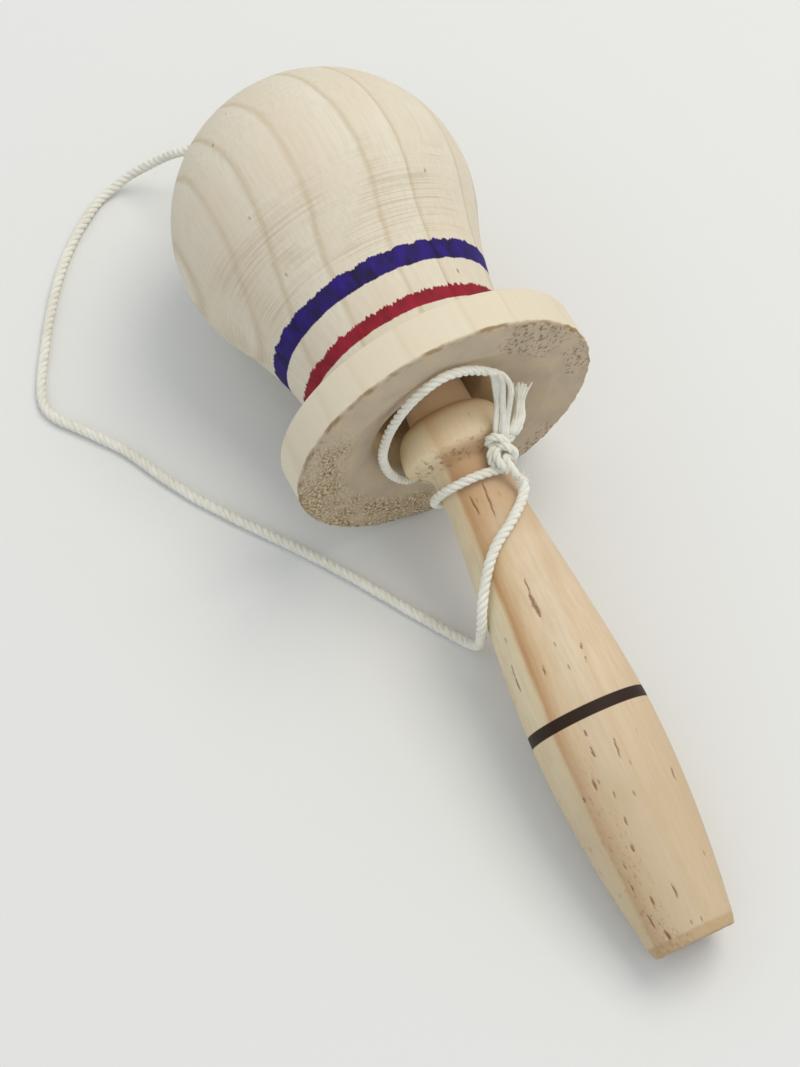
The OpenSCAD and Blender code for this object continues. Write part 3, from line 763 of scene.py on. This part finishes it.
edge_line = add_node(tree, "Math", {0: along, 1: 0.5}, operation="ADD")[0]
edge_line = add_node(tree, "Math", {0: edge_line}, operation="ABSOLUTE")[0]
edge_line = add_node(tree, "MapRange", {0: edge_line, 1: 0.55, 2: 0.25, 3: 0, 4: 1})[0]
at_rim = add_node(tree, "MapRange", {0: radius, 1: 36.3, 2: 36.8, 3: 0, 4: 1})[0]
broken = add_node(tree, "MapRange", {0: mottle, 1: 0.42, 2: 0.58, 3: 0.2, 4: 0.85})[0]
for limit in (at_rim, broken):
    edge_line = add_node(tree, "Math", {0: edge_line, 1: limit}, operation="MULTIPLY")[0]
wood = add_node(tree, "Mix", {0: edge_line, 6: wood, 7: colour("#8C7450")}, data_type="RGBA")[2]
height = add_node(tree, "Math", {0: scratch, 1: -0.9, 2: grain["fibre"]}, operation="MULTIPLY_ADD")[0]
bump = add_node(tree, "Bump", {"Strength": 0.25, "Distance": 0.12 * MM, "Height": height})[0]
crumbs = add_node(tree, "Math", {0: grit, 1: torn_here}, operation="MULTIPLY")[0]
bump = add_node(tree, "Bump", {"Strength": 0.8, "Distance": 0.8 * MM, "Height": crumbs, "Normal": bump})[0]
shader = add_node(tree, "BsdfPrincipled", {"Base Color": wood, "Roughness": 0.62, "IOR": 1.45,
                                           "Specular IOR Level": 0.05, "Normal": bump})[0]
add_node(tree, "OutputMaterial", {"Surface": shader})
print("barrel material", len(tree.nodes), "nodes")

# %% [markdown]
# ## Pine of the handle
#
# The handle came from warmer, more resinous wood. One dark growth ring runs down it as an
# orange stripe, with a pale strip of sapwood beside it. The rings are planes that lean a
# little, so one ramp over the distance from the stripe gives all of them.

# %% Handle wood
tree = new_material("waxed_warm_pine", handle)
place = add_node(tree, "TexCoord")["Object"]
mm = add_node(tree, "Mapping", {"Vector": place, "Location": Vector(bead_at) * MM, "Rotation": (0, droop, -ASKEW),
                                "Scale": (MM, MM, MM)}, vector_type="TEXTURE")[0]
along = add_node(tree, "SeparateXYZ", {0: mm})["X"]
grain = {}
for pattern, lengthwise, crosswise, settings in (
        ("wander", 0.05, 0.15, {"Detail": 3}), ("fibre", 0.07, 1.2, {"Detail": 4}), ("smudge", 1.1, 0.6, {"Detail": 4}),
        ("chips", 0.7, 1.7, {"Detail": 4, "Roughness": 0.65}), ("ragged", 0.9, 3, {"Detail": 3})):
    drawn = add_node(tree, "VectorMath", {0: mm, 1: (lengthwise, crosswise, crosswise)}, operation="MULTIPLY")[0]
    grain[pattern] = add_node(tree, "TexNoise", {"Vector": drawn, "Scale": 1, **settings})[0]

RING_NORMAL = (0, 0.968, 0.25)
across_rings = add_node(tree, "VectorMath", {0: mm, 1: RING_NORMAL}, operation="DOT_PRODUCT")["Value"]
lean = add_node(tree, "MapRange", {0: along, 1: 14, 2: 80, 3: 4.0, 4: 8.3})[0]
from_stripe = add_node(tree, "Math", {0: across_rings, 1: lean}, operation="ADD")[0]
from_stripe = add_node(tree, "Math", {0: from_stripe, 1: 0.8}, operation="SUBTRACT")[0]
from_stripe = add_node(tree, "Math", {0: grain["wander"], 1: 1.6, 2: from_stripe}, operation="MULTIPLY_ADD")[0]
STRIPE_FROM, STRIPE_TO = -8, 24
stripe = add_node(tree, "MapRange", {0: from_stripe, 1: STRIPE_FROM, 2: STRIPE_TO, 3: 0, 4: 1})[0]
stops = [((at - STRIPE_FROM) / (STRIPE_TO - STRIPE_FROM), colour(tint)) for at, tint in (
    (-8, "#DCCBA6"), (-3, "#E2D6B6"), (-0.6, "#DECDA8"), (0.4, "#C0966A"), (1.5, "#CBA77E"), (3.6, "#D8BF9A"),
    (7, "#D9C6A9"), (11, "#DAC9AE"), (13, "#D4BF9F"), (14.5, "#D9C6A9"), (24, "#D2BA99"))]
wood = add_node(tree, "ValToRGB", {0: stripe}, stops=stops)[0]
fibre_tone = add_node(tree, "ValToRGB", {0: grain["fibre"]}, stops=((0.3, colour("#DCCBB8")),
                                                                   (0.6, colour("#FFFFFF"))))[0]
wood = add_node(tree, "Mix", {0: 0.28, 6: wood, 7: fibre_tone}, data_type="RGBA", blend_type="MULTIPLY")[2]
print("handle wood", len(tree.nodes), "nodes so far")

# %% [markdown]
# ## Stains, marks and painted light on the handle
#
# The neck is darker, the resin ducts and the gouges are dark, and one crisp dark line is
# painted round the belly. The bead is lightened with painted light against the flange's shadow,
# and the spike in the mouth gets a warmer, lighter tint as painted light reflected in the bore.
# Each is a mask along the handle or beside the stripe, and at the end they are laid on the
# wood one over the other.

# %% Handle stains, marks, painted light and finish
blotch = add_node(tree, "TexNoise", {"Vector": mm, "Scale": 0.09, "Detail": 3})[0]
blotch = add_node(tree, "MapRange", {0: blotch, 1: 0.48, 2: 0.7, 3: 0, 4: 0.45})[0]
lower = add_node(tree, "MapRange", {0: along, 1: 50, 2: 104, 3: 0, 4: 0.58}, interpolation_type="SMOOTHSTEP")[0]
drawn = add_node(tree, "VectorMath", {0: mm, 1: (0.16, 0.5, 0.5)}, operation="MULTIPLY")[0]
ducts = add_node(tree, "TexVoronoi", {"Vector": drawn, "Scale": 1})
duct = add_node(tree, "MapRange", {0: ducts["Distance"], 1: 0.15, 2: 0.07, 3: 0, 4: 0.55})[0]
pick = add_node(tree, "SeparateColor", {0: ducts["Color"]})[0]
fewer = add_node(tree, "MapRange", {0: along, 1: 60, 2: 115, 3: 0.86, 4: 0.62})[0]
some = add_node(tree, "Math", {0: pick, 1: fewer}, operation="GREATER_THAN")[0]
duct = add_node(tree, "Math", {0: duct, 1: some}, operation="MULTIPLY")[0]

# the neck is darker from the bead's crease to about 34 mm along, on the stripe's side
in_neck = add_node(tree, "MapRange", {0: along, 1: 4.4, 2: 6.2, 3: 0, 4: 1}, interpolation_type="SMOOTHSTEP")[0]
off_neck = add_node(tree, "MapRange", {0: along, 1: 34, 2: 12, 3: 0, 4: 0.75}, interpolation_type="SMOOTHSTEP")[0]
warm_side = add_node(tree, "MapRange", {0: from_stripe, 1: -0.6, 2: 0.8, 3: 0.1, 4: 1})[0]
neck_darkening = in_neck
for limit in (off_neck, warm_side):
    neck_darkening = add_node(tree, "Math", {0: neck_darkening, 1: limit}, operation="MULTIPLY")[0]
smudge = add_node(tree, "MapRange", {0: grain["smudge"], 1: 0.54, 2: 0.64, 3: 0, 4: 0.7})[0]
crease = add_node(tree, "Math", {0: along, 1: 6}, operation="SUBTRACT")[0]
crease = add_node(tree, "Math", {0: crease}, operation="ABSOLUTE")[0]
crease = add_node(tree, "MapRange", {0: crease, 1: 3, 2: 0.5, 3: 0, 4: 1})[0]
smudge = add_node(tree, "Math", {0: smudge, 1: crease}, operation="MULTIPLY")[0]
# painted light: the bead and the spike behind it are lightened against the flange's shadow
bead_painted_light = add_node(tree, "MapRange", {0: along, 1: 7, 2: 4, 3: 0, 4: 0.58}, interpolation_type="SMOOTHSTEP")[0]
# painted light: the spike inside the mouth gets a warmer, lighter tint for the light reflected in the bore
spike_painted_light = add_node(tree, "MapRange", {0: along, 1: -1.5, 2: -5, 3: 0, 4: 0.65}, interpolation_type="SMOOTHSTEP")[0]

chips = add_node(tree, "MapRange", {0: grain["chips"], 1: 0.57, 2: 0.66, 3: 0, 4: 1})[0]
from_line = add_node(tree, "MapRange", {0: along, 1: 66, 2: 122, 3: 0.1, 4: 0.75})[0]
by_stripe = add_node(tree, "MapRange", {0: from_stripe, 1: 8, 2: 3, 3: 0, 4: 1})[0]
not_sap = add_node(tree, "MapRange", {0: from_stripe, 1: -1, 2: 0, 3: 0.1, 4: 1})[0]
for limit in (from_line, by_stripe, not_sap):
    chips = add_node(tree, "Math", {0: chips, 1: limit}, operation="MULTIPLY")[0]
gouged_here = add_node(tree, "Attribute", attribute_name="gouged")["Fac"]
gouged_here = add_node(tree, "Math", {0: grain["ragged"], 1: 0.9, 2: gouged_here}, operation="MULTIPLY_ADD")[0]
gouged_here = add_node(tree, "MapRange", {0: gouged_here, 1: 0.82, 2: 1.3, 3: 0, 4: 0.75})[0]
off_line = add_node(tree, "Math", {0: along, 1: BELLY_X}, operation="SUBTRACT")[0]
off_line = add_node(tree, "Math", {0: off_line}, operation="ABSOLUTE")[0]
line = add_node(tree, "MapRange", {0: off_line, 1: LINE_W / 2 + 0.1, 2: LINE_W / 2 - 0.1, 3: 0, 4: 0.97})[0]
butt = add_node(tree, "MapRange", {0: along, 1: butt_reach - 0.3, 2: butt_reach + 0.5, 3: 0, 4: 0.6})[0]
for mask, tint in ((blotch, "#CDB594"), (lower, "#C0AA8A"), (duct, "#7A5636"), (neck_darkening, "#BA946E"), (smudge, "#6E4A30"),
                   (bead_painted_light, "#EAD5AE"), (spike_painted_light, "#D8B28C"), (chips, "#96683F"), (gouged_here, "#7A4E34"),
                   (line, "#200E0B"), (butt, "#B4966E")):
    wood = add_node(tree, "Mix", {0: mask, 6: wood, 7: colour(tint)}, data_type="RGBA")[2]
bump = add_node(tree, "Bump", {"Strength": 0.25, "Distance": 0.12 * MM, "Height": grain["fibre"]})[0]
shader = add_node(tree, "BsdfPrincipled", {"Base Color": wood, "Roughness": 0.55, "IOR": 1.45,
                                           "Specular IOR Level": 0.15, "Normal": bump})[0]
add_node(tree, "OutputMaterial", {"Surface": shader})
print("handle material", len(tree.nodes), "nodes")

# %% [markdown]
# ## Cotton of the cord
#
# Undyed cotton is an off-white with no gloss. Its fibres stand out a little, which gives a
# soft sheen at the edges. The yarns inside each strand show as fine slanting lines.

# %% Cord material
tree = new_material("undyed_cotton", cord_run)
place = add_node(tree, "TexCoord")["Object"]
uv = add_node(tree, "UVMap", uv_map="along_strand")[0]
yarn_uv = add_node(tree, "VectorMath", {0: uv, 1: (4.0, 0.12, 0)}, operation="MULTIPLY")[0]
yarns = add_node(tree, "TexNoise", {"Vector": yarn_uv, "Scale": 2.0, "Detail": 2})[0]
soil = add_node(tree, "TexNoise", {"Vector": place, "Scale": 120.0, "Detail": 3})[0]
cotton = add_node(tree, "ValToRGB", {0: soil}, stops=((0.3, colour("#E2E0D2")), (0.7, colour("#F0EFE6"))))[0]
yarn_tone = add_node(tree, "ValToRGB", {0: yarns}, stops=((0.3, colour("#E0DDD2")), (0.6, colour("#FFFFFF"))))[0]
cotton = add_node(tree, "Mix", {0: 0.5, 6: cotton, 7: yarn_tone}, data_type="RGBA", blend_type="MULTIPLY")[2]
bump = add_node(tree, "Bump", {"Strength": 0.4, "Distance": 0.12 * MM, "Height": yarns})[0]
shader = add_node(tree, "BsdfPrincipled", {"Base Color": cotton, "Roughness": 0.9, "Specular IOR Level": 0.15,
                                           "Sheen Weight": 0.25, "Sheen Roughness": 0.5, "Normal": bump})[0]
add_node(tree, "OutputMaterial", {"Surface": shader})
for piece in (tie_winding, tie_knot, stopper_knot, cord_tail):
    piece.data.materials.clear()
    piece.data.materials.append(cord_run.data.materials[0])
print("cord material", len(tree.nodes), "nodes")

# %% [markdown]
# ## Table and light
#
# The table is a plain pale sheet. One large soft lamp stands behind and to the right, so
# that shadows fall to the left and a little towards the eye, and the room fills the rest.

# %% Floor, lamp and world
FLOOR_SIZE, LAMP_SIZE, LAMP_WATTS, ROOM_LIGHT = 6, 0.9, 11.0, 0.78
bpy.ops.object.select_all(action="DESELECT")
bpy.ops.mesh.primitive_plane_add(size=FLOOR_SIZE)
floor = bpy.context.object
floor.name = "floor"
tree = new_material("pale_sheet", floor)
shader = add_node(tree, "BsdfPrincipled", {"Base Color": colour("#E1E2E0"), "Roughness": 0.8,
                                           "Specular IOR Level": 0.1})[0]
add_node(tree, "OutputMaterial", {"Surface": shader})

lamp_data = bpy.data.lights.new("soft_lamp", "AREA")
lamp_data.shape, lamp_data.size, lamp_data.size_y, lamp_data.energy = "RECTANGLE", LAMP_SIZE, LAMP_SIZE, LAMP_WATTS
lamp_data.color = colour("#FFF6E8")[:3]
lamp = bpy.data.objects.new("soft_lamp", lamp_data)
bpy.context.collection.objects.link(lamp)
lamp.location = (-0.2, 0.66, 1.45)
lamp.rotation_euler = (Vector((0, 0, 0.03)) - lamp.location).to_track_quat("-Z", "Y").to_euler()
world = bpy.data.worlds.new("soft_room")
bpy.context.scene.world = world
world.use_nodes = True
world.node_tree.nodes["Background"].inputs[0].default_value = colour("#F3F7FC")
world.node_tree.nodes["Background"].inputs[1].default_value = ROOM_LIGHT
bpy.context.scene.view_settings.view_transform = "Standard"
print("lamp", LAMP_WATTS, "W at", tuple(round(c, 2) for c in lamp.location), "and room light", ROOM_LIGHT)
